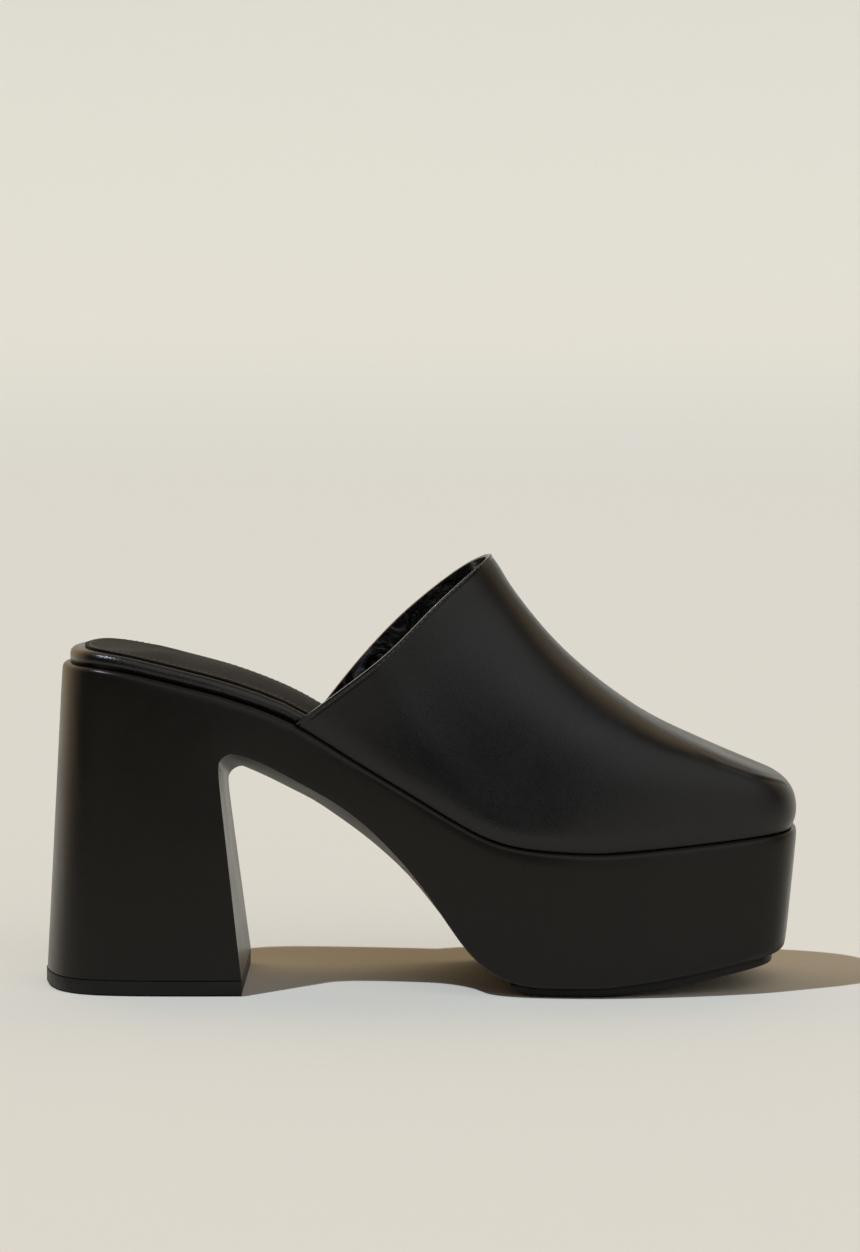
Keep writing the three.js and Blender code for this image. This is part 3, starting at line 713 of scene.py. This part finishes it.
sock_seats = seats_along(sock, sock_rim, in_from_sock_edge, STITCH_PITCH)
sock_seats = [seat for seat in sock_seats if seat[0].x < SOCK_STITCHES_TO]
sock_stitches = row_of_stitches("sock_stitches", sock_seats, STITCH_LENGTH)
dress(sock_stitches, sewing_thread("Brown thread", (0.075, 0.063, 0.048)))

# Sweep, light and camera


def sweep():
    """A pale paper floor that turns up behind the shoe in one wide curve."""
    bpy.ops.object.select_all(action="DESELECT")
    bpy.ops.mesh.primitive_plane_add(size=1)
    floor = bpy.context.object
    floor.name = "sweep"
    for vertex in floor.data.vertices:
        near = vertex.co.y < 0
        left = SWEEP_LEFT_FRONT if near else SWEEP_LEFT_BACK
        vertex.co.x = left if vertex.co.x < 0 else SWEEP_RIGHT
        vertex.co.y = SWEEP_FRONT if near else SWEEP_BACK
    choose_edges(floor, lambda e: all(v.co.y > SWEEP_BACK - 0.1 for v in e.verts))
    bpy.ops.mesh.extrude_region_move(TRANSFORM_OT_translate={"value": (0, 0, SWEEP_HEIGHT)})
    bpy.ops.object.mode_set(mode="OBJECT")
    round_edges(floor, lambda e: is_sharp(e, 30), SWEEP_CURVE, 48)
    smooth(floor, 60)
    paper = bpy.data.materials.new("Pale paper")
    paper.use_nodes = True
    paper.node_tree.nodes.clear()
    bench = Bench(paper.node_tree)
    fibres = bench.add("ShaderNodeTexNoise", {"Scale": 1.3, "Detail": 2.0}).outputs["Fac"]
    shade = bench.blend_colours(bench.fade(fibres, 0.3, 0.7), PAPER, PAPER_WORN)
    place = bench.add("ShaderNodeTexCoord").outputs["Object"]
    height = bench.part(place, "Z")
    shade = bench.blend_colours(bench.fade(height, 0, PAPER_BACK_HEIGHT), shade, PAPER_BACK)
    matt = bench.add("ShaderNodeBsdfDiffuse", {"Color": shade}).outputs[0]
    bench.add("ShaderNodeOutputMaterial", {"Surface": matt})
    floor.data.materials.append(paper)


def sun(direction, strength, colour, angle):
    data = bpy.data.lights.new("Key", "SUN")
    data.energy = strength
    data.color = colour
    data.angle = math.radians(angle)
    lamp = bpy.data.objects.new("Key", data)
    lamp.rotation_euler = Vector(direction).to_track_quat("-Z", "Y").to_euler()
    bpy.context.scene.collection.objects.link(lamp)


def room():
    """The studio round the shoe: a warm light from the back and a soft box high at the front."""
    world = bpy.data.worlds.new("Room")
    world.use_nodes = True
    world.node_tree.nodes.clear()
    bench = Bench(world.node_tree)
    towards = bench.add("ShaderNodeTexCoord").outputs["Generated"]
    back = bench.fade(bench.part(towards, "Y"), *BACK_LIGHT_FADE)
    light = bench.blend_colours(back, FRONT_LIGHT, BACK_LIGHT)
    facing = bench.add("ShaderNodeVectorMath", {0: towards, 1: SOFT_FROM}, operation="DOT_PRODUCT")
    soft = bench.fade(facing.outputs["Value"], *SOFT_LIGHT_FADE)
    light = bench.blend_colours(soft, light, SOFT_LIGHT)
    looking = bench.add("ShaderNodeLightPath").outputs["Is Camera Ray"]
    seen = bench.blend_colours(looking, light, BACKGROUND)
    glow = bench.add("ShaderNodeBackground", {"Color": seen}).outputs[0]
    bench.add("ShaderNodeOutputWorld", {"Surface": glow})
    bpy.context.scene.world = world


sweep()
sun(KEY_DIRECTION, KEY_STRENGTH, KEY_COLOUR, KEY_ANGLE)
room()
bpy.context.scene.view_settings.view_transform = "Standard"

camera = bpy.data.objects.new("Camera", bpy.data.cameras.new("Camera"))
camera.data.sensor_width = SENSOR
camera.data.lens = FOCAL_PIXELS / PHOTO_LONG_SIDE * SENSOR
camera.data.clip_start = 0.05
camera.data.clip_end = 50
camera.location = CAMERA_PLACE
camera.rotation_euler = (math.pi / 2 - CAMERA_PITCH, 0, 0)
bpy.context.scene.collection.objects.link(camera)
bpy.context.scene.camera = camera
